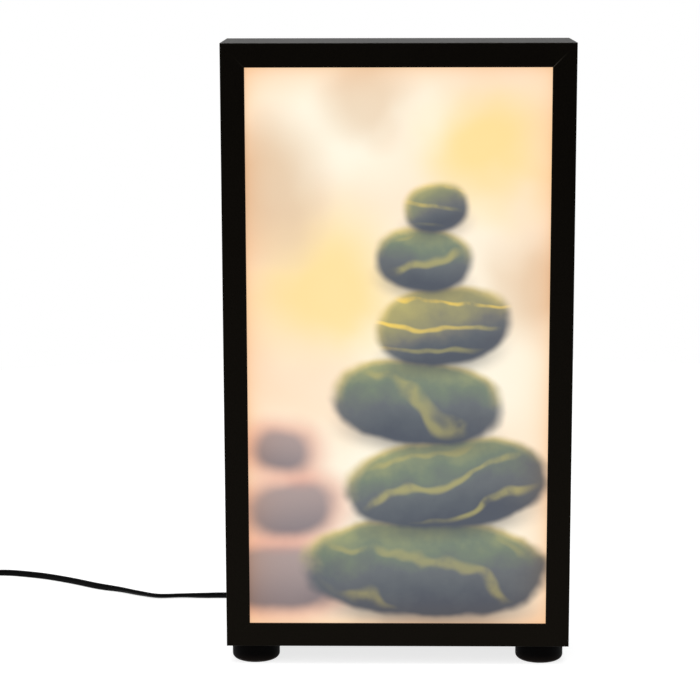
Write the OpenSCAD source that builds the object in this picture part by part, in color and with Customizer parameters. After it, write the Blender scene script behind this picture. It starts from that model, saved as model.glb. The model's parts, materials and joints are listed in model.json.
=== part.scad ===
// Free-standing light box floor lamp: a mitred black frame round a back-lit picture
// panel, on round rubber feet, with a flat mains cord, a foot switch and a two-pin plug.
// Millimetres. X is to the viewer's right, Y runs from the front to the back, Z is up.
// The origin is on the floor, under the middle of the box.

/* [Box] */
// Width of the box
box_w = 330; // [280:1:420]
// Height of the box without its feet
box_h = 578; // [480:1:760]
// Depth of the box from the front flange to the back edge
box_d = 104; // [98:1:140]

/* [Frame profile] */
// Thickness of the outer wall of the extrusion
wall_t = 2; // [1.6:0.1:3]
// Width of the front flange round the picture
flange_w = 22.5; // [19:0.5:32]
// Thickness of the front flange, which is how deep the panel sits
flange_t = 3; // [2:0.1:5]
// Rounding of the front edges
edge_r = 0.8; // [0.3:0.1:1.2]
// Thickness of the ribs inside the extrusion
rib_t = 1.6; // [1.2:0.1:2.4]
// Clear width of a corner key channel
channel_w = 20.4; // [16:0.2:24]
// Clear height of a corner key channel
channel_h = 3.9; // [3.6:0.1:5]
// Reach of the hooks that close a key channel
hook_w = 2.6; // [1.6:0.1:3.4]
// Space between the glazing rib and the first key channel
channel_gap = 1.1; // [0.6:0.1:6]
// Reach of the ledge that carries the back cover
ledge_w = 10; // [8:0.5:14]
// Thickness of that ledge
ledge_t = 2; // [1.6:0.1:3]

/* [Panel stack] */
// Thickness of the frosted front panel
panel_t = 3; // [2:0.1:5]
// Thickness of the printed film
film_t = 0.3; // [0.2:0.05:0.6]
// Thickness of the opal diffuser
diffuser_t = 2; // [1.5:0.1:4]
// Gap between the frame's ribs and the edge of the panels
panel_gap = 1; // [0.5:0.1:2]
// Thickness of the rubber retaining strips
strip_t = 3.7; // [2:0.1:6]
// How far the retaining strips reach in over the diffuser
strip_lap = 6.5; // [3:0.5:10]
// Length of a setting block under the panels
block_l = 30; // [15:1:50]

/* [Corner keys] */
// Thickness of a corner key
key_t = 3.5; // [3:0.1:3.5]
// Length of each leg of a corner key
key_leg = 45; // [42:1:60]
// Diameter of a key's grub screw
grub_d = 5; // [4:0.5:6]
// Length of a grub screw
grub_l = 5; // [4:0.5:6]
// Distance of the first grub screw from the corner
grub_first = 14; // [12:0.5:17]
// Distance of the second grub screw from the corner
grub_second = 41; // [38.5:0.5:42]

/* [Back] */
// Thickness of the back cover
cover_t = 2; // [1.2:0.1:3]
// How far the back cover lies inside the frame's back edge
cover_recess = 2.6; // [2.4:0.1:5]
// Cover screws on each tall side
screws_tall = 3; // [2:1:5]
// Cover screws on each short side
screws_wide = 2; // [2:1:4]
// Distance of the first cover screw from the corner of the box
screw_end = 60; // [55:1:90]
// Length of a ventilation slot
vent_l = 28; // [15:1:34]
// Width of a ventilation slot
vent_w = 3.5; // [2:0.5:6]
// Ventilation slots in a row
vent_columns = 4; // [2:1:4]
// Rows of ventilation slots in each group
vent_rows = 3; // [1:1:3]
// Height of the lower group of slots above the box's bottom
vent_z = 90; // [85:1:105]

/* [Reflector tray] */
// Thickness of the tray's sheet
tray_t = 1; // [0.8:0.1:1.5]
// Depth of the tray from its flange to its face
tray_h = 33; // [33:1:48]
// Gap between the ledge and the wall of the tray
tray_gap = 1; // [0.5:0.1:3]
// Diameter of the grommet's hole in the tray
grommet_d = 8; // [6:0.5:10]

/* [LED bars] */
// Width of a light bar
bar_w = 12; // [8:1:18]
// Thickness of a light bar
bar_t = 1.2; // [1:0.1:2]
// Distance of a bar's end from the end of the tray
bar_margin = 30; // [20:1:60]
// Spacing of the LEDs on a bar
led_pitch = 40; // [25:1:60]
// Width of an LED package
led_w = 5; // [3:0.5:7]
// Height of an LED package under its lens
led_h = 1.2; // [0.8:0.1:2]

/* [Driver and terminals] */
// Length of the driver's case
driver_l = 150; // [110:1:160]
// Width of the driver's case
driver_w = 42; // [30:1:50]
// Height of the driver's case
driver_h = 24; // [18:1:29]
// Place of the driver across the box
driver_x = 20; // [10:1:25]
// Width of the terminal block
terminal_w = 20; // [16:1:26]
// Length of the terminal block
terminal_l = 30; // [24:1:40]
// Height of the terminal block
terminal_h = 16; // [14:1:22]
// Thickness of the fixing ears and the cord clamp
ear_t = 3; // [2:0.1:4]
// Length of a fixing ear
ear_l = 12; // [10:1:16]

/* [Fasteners] */
// Diameter of the small screws
screw_d = 3; // [2.5:0.5:3.5]
// Diameter of a small screw's head
screw_head_d = 6; // [5:0.5:6.5]
// Height of a small screw's head
screw_head_h = 2.2; // [1.4:0.1:2.3]
// Width across the corners of a small nut
nut_d = 6.4; // [6:0.1:7]
// Height of a small nut
nut_h = 2.4; // [1.8:0.1:3]

/* [Feet] */
// Diameter of a foot
foot_d = 46; // [36:0.5:50]
// Height of a foot
foot_h = 18.5; // [14:0.5:26]
// Distance of a foot from the side of the box
foot_inset = 4; // [2:0.5:12]
// Rounding of a foot's lower edge
foot_round = 4.5; // [2:0.5:8]
// Diameter of a foot's screw
foot_screw_d = 5; // [4:0.5:6]
// Diameter of a foot's washer
foot_washer_d = 11; // [10:0.5:14]

/* [Cord and gland] */
// Width of the flat cord
cord_w = 7; // [6:0.1:7.2]
// Thickness of the flat cord
cord_t = 4; // [3.4:0.1:4.2]
// Distance of the gland from the left side of the box
gland_inset = 55; // [50:1:60]
// Height of the gland above the box's bottom
gland_z = 40; // [36:1:46]
// Diameter of the gland's flange
gland_flange_d = 17; // [14:0.5:22]
// Diameter of the gland's neck in the cover
gland_neck_d = 11; // [10:0.5:13]
// Length of the gland's bending sleeve
gland_sleeve_l = 27; // [20:1:40]
// Number of ribs on the bending sleeve
gland_ribs = 5; // [3:1:7]

/* [Coil] */
// Turns in the stored coil
coil_turns = 5; // [3:1:7]
// Radius of the coil's outer turn
coil_r = 42; // [41:0.5:48]
// Step from turn to turn
coil_step = 5.4; // [5.2:0.1:5.8]
// Step from layer to layer
coil_layer = 7.8; // [7.6:0.1:8.6]
// Thickness of the tie round the coil
tie_t = 0.7; // [0.4:0.1:1.2]
// Width of the tie
tie_w = 10; // [6:1:16]

/* [Foot switch] */
// Width of the switch
switch_w = 44; // [42:1:52]
// Length of the switch without its cord collars
switch_l = 84; // [80:1:96]
// Height of the switch's case
switch_h = 22; // [21:0.5:26]
// Thickness of the switch's base
switch_base_t = 3; // [2:0.1:4]
// Wall of the switch's cover
switch_wall = 2; // [1.4:0.1:2.4]
// Diameter of the push button
button_d = 26; // [22:0.5:28]
// Height of the push button above the case
button_rise = 5; // [4:0.5:8]
// Travel of the push button
button_travel = 3; // [2:0.1:3.5]
// Length of a cord collar
collar_l = 8; // [5:0.5:10]

/* [Plug] */
// Width of the plug at its face
plug_w = 35; // [33:0.5:37]
// Thickness of the plug
plug_t = 13.7; // [12:0.1:15]
// Length of the plug's body
plug_l = 36; // [30:0.5:42]
// Length of the plug's bending sleeve
plug_sleeve_l = 22; // [20:1:30]
// Spacing of the pins
pin_pitch = 18.6; // [18:0.1:19.2]
// Diameter of a pin
pin_d = 4; // [3.8:0.1:4.2]
// Length of a pin
pin_l = 19; // [17:0.5:20]
// Length of the insulating sleeve on a pin
sleeve_l = 10; // [8:0.5:11]

/* [Hidden] */
$fn = 48;

// Clearances: loose sheet edges, bolts in drilled holes, threads, sliding pieces, and the cord on the floor
fit = 0.3;
bolt_fit = 0.2;
thread_fit = 0.05;
slide_fit = 0.3;
floor_gap = 0.1;
cut = 1;

// Colours of the finishes
black_coat = "#0b0b0b";
black_plastic = "#121212";
black_rubber = "#0e0e0e";
raw_alloy = "#a9acb0";
white_coat = "#f2f1ec";
opal = "#fff3dc";
zinc = "#b9bcc0";
brass = "#c9a24a";

// Places measured from the front plane, and heights from the floor
bottom_z = foot_h;
top_z = foot_h + box_h;
panel_u = wall_t + channel_h + rib_t + panel_gap;
film_v = flange_t + panel_t;
diffuser_v = film_v + film_t;
strip_v = diffuser_v + diffuser_t;
rib_v = strip_v + strip_t;
rib_u = wall_t + channel_h + rib_t;
channel_v = rib_v + rib_t + channel_gap + rib_t + channel_w / 2;
channel_centres = [channel_v, box_d - channel_v];
cover_v = box_d - cover_recess - cover_t;
tray_v = cover_v - tray_t;
ledge_v = tray_v - ledge_t;
pan_v = cover_v - tray_h;
tray_u = wall_t + ledge_w + tray_gap;
tray_half_w = box_w / 2 - tray_u;
key_u = wall_t + channel_h - key_t;
key_w = channel_w - 2 * fit;
cover_screw_u = wall_t + ledge_w / 2;

function depth_y(v) = v - box_d / 2;

// Places of the cover screws on the four ledges, as [x, z]
function spread(count, first, last) = [for (i = [0 : count - 1]) first + (last - first) * i / (count - 1)];
tall_places = spread(screws_tall, bottom_z + screw_end, top_z - screw_end);
wide_places = spread(screws_wide, screw_end - box_w / 2, box_w / 2 - screw_end);
side_x = box_w / 2 - cover_screw_u;
cover_screw_places = concat(
    [for (z = tall_places, side = [-1, 1]) [side * side_x, z]],
    [for (x = wide_places, z = [bottom_z + cover_screw_u, top_z - cover_screw_u]) [x, z]]);

// Places of the feet
foot_x = box_w / 2 - foot_inset - foot_d / 2;
foot_y = box_d / 2 - channel_v;
foot_bore_h = 10;
foot_screw_head_d = 9.5;
foot_screw_head_h = 3.2;
foot_washer_t = 1;
foot_tip = 2;

// Places of the light bars and of what feeds them
bar_count = 4;
bar_step = 2 * tray_half_w / bar_count;
bar_bottom = bottom_z + tray_u + bar_margin;
bar_len = box_h - 2 * (tray_u + bar_margin);
led_end = 26;
led_count = floor((bar_len - 2 * led_end) / led_pitch) + 1;
led_lens_r = 0.45 * led_w;
jumper_d = 1.2;
jumper_end = 8;
jumper_gap = 5;
connector = [8, 5, 10];
lead_d = 3.2;
lead_turn = 12;
grommet_lip = 2;
grommet_wall = 1.2;
function bar_x(i) = (i - (bar_count - 1) / 2) * bar_step;
function led_z(k) = bar_bottom + led_end + k * led_pitch;
bar_face_v = pan_v - bar_t;
feed_z = led_z(2) + led_pitch / 2;
feed_bar_x = bar_x(bar_count - 1);
driver_end_x = driver_x + driver_l / 2;
grommet_x = driver_end_x + (tray_half_w - driver_end_x) * 0.7;
lead_v = cover_v - driver_h / 2;
connector_v = bar_face_v - connector.y;

// Places on the inside of the back cover
gland_x = gland_inset - box_w / 2;
terminal_x = gland_x;
terminal_fix_x = terminal_w / 2 + ear_l / 2;
driver_fix_x = driver_l / 2 + ear_l / 2;
clamp_drop = 32;
clamp_z = feed_z - terminal_l / 2 - clamp_drop;
clamp_w = 10;
clamp_half = cord_w / 2 + fit;
clamp_fix_x = clamp_half + ear_t + ear_l / 2;
fixing_places = [
    [driver_x - driver_fix_x, feed_z], [driver_x + driver_fix_x, feed_z],
    [terminal_x - terminal_fix_x, feed_z], [terminal_x + terminal_fix_x, feed_z],
    [gland_x - clamp_fix_x, clamp_z], [gland_x + clamp_fix_x, clamp_z]];
fixing_tip = 1;
wire_d = 2.2;
wire_spread = 8;

// The gland, along Y from its inner end to its outer end
gland_nut_h = 5;
gland_nut_d = 18;
gland_flange_t = 3;
gland_inner = 2;
gland_tip_d = 9;
gland_rib_depth = 0.8;
gland_y = depth_y(cover_v + cover_t);
gland_end_y = gland_y + gland_flange_t + gland_sleeve_l;
gland_inner_y = gland_y - cover_t - gland_nut_h - gland_inner;

// The ventilation slots
vent_pitch_x = 40;
vent_pitch_z = 11;

// Route from the gland to the switch, as [x, y, height, roll]: a roll of 0 is flat and 90 is on edge.
// The first points leave the gland and fall to the floor, and the rest run along it.
gland_drop = [[0, 0, 0, 0], [0, 15, -2, 0], [-2, 30, -10, 0], [-6, 44, -25, 4], [-14, 60, -41, 14]];
floor_run = [[-137, 155, 5, 31], [-156, 167, 0, 51], [-180, 172, 0, 63], [-205, 172, 0, 50],
    [-230, 173, 0, 28], [-254, 171, 0, 32], [-276, 181, 0, 44], [-296, 193, 0, 53],
    [-322, 205, 0, 85], [-352, 225, 0, 86], [-382, 242, 0, 82], [-408, 252, 0, 82],
    [-428, 257, 0, 78], [-446, 256.5, 0, 70], [-460, 248, 0, 50], [-468, 232, 3.5, 20], [-470, 211, 6.5, 0]];

// The switch lies past the left end of that run, along Y, and the plug points the same way
towards_plug = [0, -1, 0];
switch_x = -470;
collar_z = 6.5;
collar = [10, 8];
switch_y = floor_run[len(floor_run) - 1].y - collar_l - switch_l / 2;
switch_straight = switch_l - switch_w;
switch_inner_h = switch_h - switch_wall;
switch_reveal = 0.8;
shoulder_r = 6;
collar_groove = [1.2, 0.7];
contact_block = [24, 30, 8];
contact_top = switch_base_t + contact_block.z;
boss_d = 7;
boss_at = [switch_w / 2 - switch_wall - boss_d / 2 - 1.5, 22];
switch_pilot_d = 2.4;
switch_screw_d = 2.6;
switch_head_d = 5;
switch_head_h = 1.4;
switch_screw_bite = 9;
button_flange = 2.5;
button_flange_t = 4;
button_round = 2;
button_dish_r = 60;
button_dish = 0.8;
spring_seat_d = 12;
spring_r = 4;
spring_wire = 0.5;
spring_turns = 4;
button_flange_top = switch_inner_h - slide_fit;
button_flange_low = button_flange_top - button_flange_t;
spring_top = switch_h - switch_wall + 0.5;

// The coil lies beyond the switch, with the cord entering on its right side
coil_floor = tie_t + floor_gap;
coil_centre = [switch_x - coil_r, 66];
coil_z = coil_floor + cord_w / 2;
coil_lead = cord_w;
plug_side_run = [[switch_x, switch_y - switch_l / 2 - collar_l, collar_z, 0],
    [switch_x, switch_y - switch_l / 2 - collar_l - 10, collar_z, 20],
    [switch_x, coil_centre.y + coil_lead + 10, coil_z, 80],
    [switch_x, coil_centre.y + coil_lead, coil_z, 90]];
climb_turns = 0.25;
function smooth_step(t) = t * t * (3 - 2 * t);
function clamped(t) = max(0, min(1, t));
function coil_radius(s) = coil_r - coil_step * min(s, coil_turns - s);
function coil_height(s) = coil_z + coil_layer
    * smooth_step(clamped((s - coil_turns / 2 + climb_turns) / (2 * climb_turns)));
function coil_point(s) = [coil_centre.x + coil_radius(s) * cos(360 * s),
    coil_centre.y - coil_radius(s) * sin(360 * s), coil_height(s), 90];
loop_rings = 24;
coil_path = concat(
    [[switch_x, coil_centre.y + coil_lead, coil_z, 90]],
    [for (k = [0 : coil_turns * loop_rings]) coil_point(k / loop_rings)],
    [[switch_x, coil_centre.y - coil_lead, coil_z + coil_layer, 90]]);
function turn_gap(s, k) = max(abs(coil_radius(s) - coil_radius(s + k)) - cord_t,
    abs(coil_height(s) - coil_height(s + k)) - cord_w);
coil_gaps = [for (k = [1 : coil_turns - 1])
    for (s = [0 : 1 / (2 * loop_rings) : coil_turns - k]) turn_gap(s, k)];
echo(str("cord coil: least gap between turns ", min(coil_gaps), " mm"));

// The plug lies beyond the coil, flat on the floor
plug_z = plug_t / 2;
tail_run = [[switch_x, coil_centre.y - coil_lead, coil_z + coil_layer, 90],
    [switch_x, coil_centre.y - coil_lead - 14, coil_z + coil_layer, 84],
    [switch_x, coil_centre.y - coil_lead - 34, plug_z + 1, 30],
    [switch_x, coil_centre.y - coil_lead - 50, plug_z, 0]];
plug_end_y = tail_run[len(tail_run) - 1].y;
plug_neck_w = 24;
plug_sleeve_d = 11;
plug_tip_d = 9;
plug_chamfer = 4;
grip_rows = 4;
grip_step = 3.4;
grip_cut = [15, 1.6, 0.9];
plug_body_y = plug_end_y - plug_sleeve_l;
plug_face_y = plug_body_y - plug_l;
pin_core_d = 2.8;
pin_seat = 8;
sleeve_step = 0.2;
sleeve_d = pin_d - 2 * sleeve_step;

// Route of the inner end of the cord, from the gland up to the terminal block, in the plane X = gland_x
tail_bend = 13;
tail_step = 18;
tail_lift = bottom_z + gland_z;
cover_rest_v = cover_v - cord_t / 2 - fit / 2;
gland_inner_v = gland_inner_y + box_d / 2;
mains_route = [[gland_inner_v, tail_lift], [gland_inner_v - tail_bend / 2, tail_lift],
    [gland_inner_v - tail_bend, tail_lift + tail_step / 2],
    [gland_inner_v - tail_bend, tail_lift + tail_step * 1.5],
    [cover_rest_v - tail_bend / 2, tail_lift + tail_step * 2.5], [cover_rest_v - fit, clamp_z - tail_step],
    [cover_rest_v, clamp_z], [cover_rest_v, clamp_z + clamp_drop / 2], [cover_rest_v, clamp_z + clamp_drop]];

// A smooth line through points, and a tube swept along it
function unit(v) = v / norm(v);
function xyz(p) = [p.x, p.y, p.z];
function catmull(a, b, c, d, t) = (2 * b + (c - a) * t + (2 * a - 5 * b + 4 * c - d) * t * t
    + (3 * b - a - 3 * c + d) * t * t * t) / 2;
function smooth_line(p, steps) = let (last = len(p) - 1) concat(
    [for (i = [0 : last - 1]) for (k = [0 : steps - 1])
        catmull(p[max(i - 1, 0)], p[i], p[i + 1], p[min(i + 2, last)], k / steps)],
    [p[last]]);
function heading(path, i) = unit(xyz(path[min(i + 1, len(path) - 1)]) - xyz(path[max(i - 1, 0)]));
function rolled(q, roll) = [q.x * cos(roll) - q.y * sin(roll), q.x * sin(roll) + q.y * cos(roll)];
function ring(centre, along, up, section, roll) = let (
    side = unit(cross(up, along)),
    above = cross(along, side))
    [for (q = section) let (r = rolled(q, roll)) centre + r.x * side + r.y * above];
function flat_section(w, t) = let (a = w / 2, b = w / 2 - 0.3 * t, c = 0.2 * t, d = t / 2)
    [[a, -c], [a, c], [b, d], [-b, d], [-a, c], [-a, -c], [-b, -d], [b, -d]];
function thin_section(w, t) = let (a = w / 2, b = w / 2 - 0.35 * t, d = t / 2)
    [[a, 0], [b, d], [-b, d], [-a, 0], [-b, -d], [b, -d]];
function round_section(d, sides) = [for (k = [0 : sides - 1])
    d / 2 * [cos(360 * k / sides), sin(360 * k / sides)]];

// The first and last rings are square to leave and arrive, where these directions are given
module swept_tube(path, section, up = [0, 0, 1], leave = undef, arrive = undef) {
    n = len(section);
    last = len(path) - 1;
    start = is_undef(leave) ? heading(path, 0) : leave;
    finish = is_undef(arrive) ? heading(path, last) : arrive;
    points = [for (i = [0 : last]) let (along = i == 0 ? start : i == last ? finish : heading(path, i))
        each ring(xyz(path[i]), along, up, section, path[i][3])];
    sides = [for (i = [0 : last - 1], j = [0 : n - 1])
        let (a = i * n + j, b = i * n + (j + 1) % n)
        each [[a, a + n, b + n], [a, b + n, b]]];
    start_cap = [for (j = [1 : n - 2]) [0, j, j + 1]];
    end_cap = [for (j = [1 : n - 2]) [last * n, last * n + j + 1, last * n + j]];
    polyhedron(points = points, faces = concat(sides, start_cap, end_cap), convexity = 10);
}

// Cuts a square corner of a flat outline down to a rounded one of radius r
module corner_round(r, turn = 0) {
    rotate(turn) difference() {
        translate([-cut, -cut]) square(cut + r);
        translate([r, r]) circle(r);
    }
}

// Places a child that is modelled along +Z so that it points to the back of the lamp
module facing_back(x, v, z) {
    translate([x, depth_y(v), z]) rotate([-90, 0, 0]) children();
}

module pan_screw(d, head_d, head_h, length) {
    translate([0, 0, -length]) cylinder(d = d, h = length);
    difference() {
        cylinder(d = head_d, h = head_h);
        for (turn = [0, 90]) rotate(turn) translate([-head_d / 3, -head_d / 16, head_h / 2])
            cube([head_d * 2 / 3, head_d / 8, head_h]);
    }
}

// Frame

module key_channel_outline(centre) {
    for (side = [-1, 1]) {
        rib_start = side < 0 ? -channel_w / 2 - rib_t : channel_w / 2;
        hook_start = side < 0 ? -channel_w / 2 : channel_w / 2 - hook_w;
        translate([0, centre + rib_start]) square([rib_u, rib_t]);
        translate([wall_t + channel_h, centre + hook_start]) square([rib_t, hook_w]);
    }
}

module frame_profile() {
    difference() {
        union() {
            square([wall_t, box_d]);
            square([flange_w, flange_t]);
            translate([0, rib_v]) square([rib_u, rib_t]);
            for (centre = channel_centres) key_channel_outline(centre);
            translate([0, ledge_v]) square([wall_t + ledge_w, ledge_t]);
        }
        corner_round(edge_r);
        translate([flange_w, 0]) corner_round(edge_r, 90);
    }
}

// One extrusion, mitred at both ends, with its outer face on X = 0 and its front on Y = 0
module mitred_length(length) {
    reach = flange_w + cut;
    intersection() {
        linear_extrude(length) frame_profile();
        translate([0, box_d + cut, 0]) rotate([90, 0, 0]) linear_extrude(box_d + 2 * cut)
            polygon([[-cut, -cut], [reach, reach], [reach, length - reach], [-cut, length + cut]]);
    }
}

module ledge_holes(places) {
    for (p = places) facing_back(p.x, ledge_v - cut, p[1])
        cylinder(d = screw_d + 2 * thread_fit, h = ledge_t + 2 * cut);
}

module stile(side) {
    color(black_coat) difference() {
        mirror([side > 0 ? 1 : 0, 0, 0]) translate([-box_w / 2, -box_d / 2, bottom_z]) mitred_length(box_h);
        ledge_holes([for (z = tall_places) [side * side_x, z]]);
    }
}

module lying_rail() {
    translate([box_w / 2, -box_d / 2, 0]) rotate([0, -90, 0]) mitred_length(box_w);
}

module bottom_rail() {
    color(black_coat) difference() {
        translate([0, 0, bottom_z]) lying_rail();
        ledge_holes([for (x = wide_places) [x, bottom_z + cover_screw_u]]);
        at_feet() translate([0, 0, bottom_z - cut])
            cylinder(d = foot_screw_d + 2 * bolt_fit, h = wall_t + 2 * cut);
    }
}

module top_rail() {
    color(black_coat) difference() {
        translate([0, 0, top_z]) mirror([0, 0, 1]) lying_rail();
        ledge_holes([for (x = wide_places) [x, top_z - cover_screw_u]]);
    }
}

// Puts a child at each corner and channel, as if at the bottom left corner of the box
module at_key_corners(low = true) {
    for (v = channel_centres, side = [0, 1])
        mirror([side, 0, 0]) translate([-box_w / 2, depth_y(v), low ? bottom_z : top_z])
            mirror([0, 0, low ? 0 : 1]) children();
}

module corner_key(tapped_for_foot) {
    tap_d = grub_d + 2 * thread_fit;
    difference() {
        union() {
            translate([key_u, -key_w / 2, key_u]) cube([key_leg, key_w, key_t]);
            translate([key_u, -key_w / 2, key_u]) cube([key_t, key_w, key_leg]);
        }
        for (place = [grub_first, grub_second]) {
            translate([place, 0, key_u - cut]) cylinder(d = tap_d, h = key_t + 2 * cut);
            translate([key_u - cut, 0, place]) rotate([0, 90, 0]) cylinder(d = tap_d, h = key_t + 2 * cut);
        }
        if (tapped_for_foot) translate([box_w / 2 - foot_x, 0, key_u - cut])
            cylinder(d = foot_screw_d + 2 * thread_fit, h = key_t + 2 * cut);
    }
}

module corner_keys() {
    color(raw_alloy) for (low = [true, false]) at_key_corners(low) corner_key(low);
}

module grub_screw() {
    socket_d = grub_d / 2;
    difference() {
        cylinder(d = grub_d, h = grub_l);
        translate([0, 0, grub_l / 2]) cylinder(d = socket_d, h = grub_l, $fn = 6);
    }
}

module corner_key_screws() {
    color(zinc) for (low = [true, false]) at_key_corners(low) for (place = [grub_first, grub_second]) {
        translate([place, 0, wall_t]) grub_screw();
        translate([wall_t, 0, place]) rotate([0, 90, 0]) grub_screw();
    }
}

// Panel stack

module sheet(v, thickness) {
    translate([panel_u - box_w / 2, depth_y(v), bottom_z + panel_u])
        cube([box_w - 2 * panel_u, thickness, box_h - 2 * panel_u]);
}

module front_panel() { color(opal) sheet(flange_t, panel_t); }
module graphic_film() { color(opal) sheet(film_v, film_t); }
module diffuser_sheet() { color(white_coat) sheet(diffuser_v, diffuser_t); }

module setting_blocks() {
    color(black_rubber) for (side = [-1, 1])
        translate([side * box_w / 4 - block_l / 2, depth_y(flange_t), bottom_z + wall_t])
            cube([block_l, strip_v - flange_t, panel_u - wall_t]);
}

strip_edge = wall_t + fit;
strip_reach = panel_u + strip_lap;

module lying_retainer(z) {
    color(black_rubber) translate([strip_edge - box_w / 2, depth_y(strip_v), z])
        cube([box_w - 2 * strip_edge, strip_t, strip_reach - strip_edge]);
}

module standing_retainer(x) {
    color(black_rubber) translate([x, depth_y(strip_v), bottom_z + strip_reach])
        cube([strip_reach - strip_edge, strip_t, box_h - 2 * strip_reach]);
}

module retainer_top() { lying_retainer(top_z - strip_reach); }
module retainer_bottom() { lying_retainer(bottom_z + strip_edge); }
module retainer_left() { standing_retainer(strip_edge - box_w / 2); }
module retainer_right() { standing_retainer(box_w / 2 - strip_reach); }

// Light engine

module plate(inset, v, thickness) {
    translate([inset - box_w / 2, depth_y(v), bottom_z + inset])
        cube([box_w - 2 * inset, thickness, box_h - 2 * inset]);
}

module cover_screw_holes(v, thickness) {
    for (p = cover_screw_places) facing_back(p.x, v - cut, p[1])
        cylinder(d = screw_d + 2 * bolt_fit, h = thickness + 2 * cut);
}

module reflector_tray() {
    color(white_coat) difference() {
        union() {
            plate(wall_t + fit, tray_v, tray_t);
            plate(tray_u, pan_v, tray_h);
        }
        plate(tray_u + tray_t, pan_v + tray_t, tray_h);
        cover_screw_holes(tray_v, tray_t);
        facing_back(grommet_x, pan_v - cut, feed_z) cylinder(d = grommet_d, h = tray_t + 2 * cut);
    }
}

module led_bar(i) {
    color(white_coat) translate([bar_x(i) - bar_w / 2, depth_y(bar_face_v), bar_bottom])
        cube([bar_w, bar_t, bar_len]);
}

module led_chip() {
    translate([-led_w / 2, -led_w / 2, 0]) cube([led_w, led_w, led_h]);
    translate([0, 0, led_h]) difference() {
        sphere(r = led_lens_r);
        translate([-led_w, -led_w, -2 * led_w - led_h / 2]) cube(2 * led_w);
    }
}

module led_chips() {
    color(opal) for (i = [0 : bar_count - 1], k = [0 : led_count - 1])
        translate([bar_x(i), depth_y(bar_face_v), led_z(k)]) rotate([90, 0, 0]) led_chip();
}

module bar_jumpers() {
    gap = fit / 6;
    color("firebrick") for (i = [0 : bar_count - 2], row = [0, 1])
        translate([bar_x(i) + bar_w / 2, depth_y(pan_v) - jumper_d / 2 - gap,
            bar_bottom + bar_len - jumper_end - row * jumper_gap])
            rotate([0, 90, 0]) cylinder(d = jumper_d, h = bar_step - bar_w);
}

module lead_connector() {
    color(white_coat)
        translate([feed_bar_x - connector.x / 2, depth_y(bar_face_v - connector.y),
            feed_z - connector.z / 2])
            cube(connector);
}

// Low-voltage lead from the driver's end, forward through the tray and round into the outer bar's connector
module dc_lead() {
    arc_depth = cos(45);
    arc_side = 1 - arc_depth;
    loop_r = (grommet_x - feed_bar_x) / 2;
    loop_v = connector_v - lead_d;
    route = [[driver_end_x, lead_v], [grommet_x - lead_turn, lead_v],
        [grommet_x - arc_side * lead_turn, lead_v - arc_side * lead_turn], [grommet_x, lead_v - lead_turn],
        [grommet_x, pan_v + tray_t + 2 * grommet_wall], [grommet_x, pan_v - 2 * grommet_wall],
        [grommet_x, loop_v], [grommet_x - arc_side * loop_r, loop_v - arc_depth * loop_r],
        [grommet_x - loop_r, loop_v - loop_r],
        [feed_bar_x + arc_side * loop_r, loop_v - arc_depth * loop_r], [feed_bar_x, loop_v],
        [feed_bar_x, connector_v]];
    color(black_plastic) swept_tube(
        smooth_line([for (p = route) [p.x, depth_y(p.y), feed_z, 0]], 3), round_section(lead_d, 8),
        leave = [1, 0, 0], arrive = [0, 1, 0]);
}

module tray_grommet() {
    bore_d = lead_d + 2 * fit;
    lip_d = grommet_d + 2 * grommet_lip;
    color(black_rubber) facing_back(grommet_x, pan_v - grommet_wall, feed_z) rotate_extrude()
        translate([bore_d / 2, 0]) {
            square([(lip_d - bore_d) / 2, grommet_wall]);
            square([(grommet_d - bore_d) / 2, 2 * grommet_wall + tray_t]);
            translate([0, grommet_wall + tray_t]) square([(lip_d - bore_d) / 2, grommet_wall]);
        }
}

// A block on the inside of the back cover with a low fixing ear at each end
module eared_block(x, z, length, width, height) {
    translate([x - length / 2, depth_y(cover_v - height), z - width / 2]) cube([length, height, width]);
    difference() {
        translate([x - length / 2 - ear_l, depth_y(cover_v - ear_t), z - width / 4])
            cube([length + 2 * ear_l, ear_t, width / 2]);
        for (side = [-1, 1]) facing_back(x + side * (length / 2 + ear_l / 2), cover_v - ear_t - cut, z)
            cylinder(d = screw_d + 2 * bolt_fit, h = ear_t + 2 * cut);
    }
}

module led_driver() {
    color(white_coat) eared_block(driver_x, feed_z, driver_l, driver_w, driver_h);
}

module terminal_block() {
    well_d = 5;
    well_h = 6;
    color(white_coat) difference() {
        eared_block(terminal_x, feed_z, terminal_w, terminal_l, terminal_h);
        for (x = [-terminal_w / 4, terminal_w / 4], z = [-terminal_l / 4, terminal_l / 4])
            facing_back(terminal_x + x, cover_v - terminal_h - cut, feed_z + z)
                cylinder(d = well_d, h = well_h + cut);
    }
}

module input_wires() {
    start_x = terminal_x + terminal_w / 2;
    wire_l = driver_x - driver_l / 2 - start_x;
    color("saddlebrown") for (side = [-1, 1])
        translate([start_x, depth_y(cover_v - terminal_h / 2), feed_z + side * wire_spread / 2])
            rotate([0, 90, 0]) cylinder(d = wire_d, h = wire_l);
}

module mains_tail() {
    color(black_plastic) swept_tube(
        [for (p = smooth_line(mains_route, 3)) [gland_x, depth_y(min(p.x, cover_rest_v)), p.y, 90]],
        flat_section(cord_w, cord_t), [1, 0, 0], [0, -1, 0], [0, 0, 1]);
}

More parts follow.
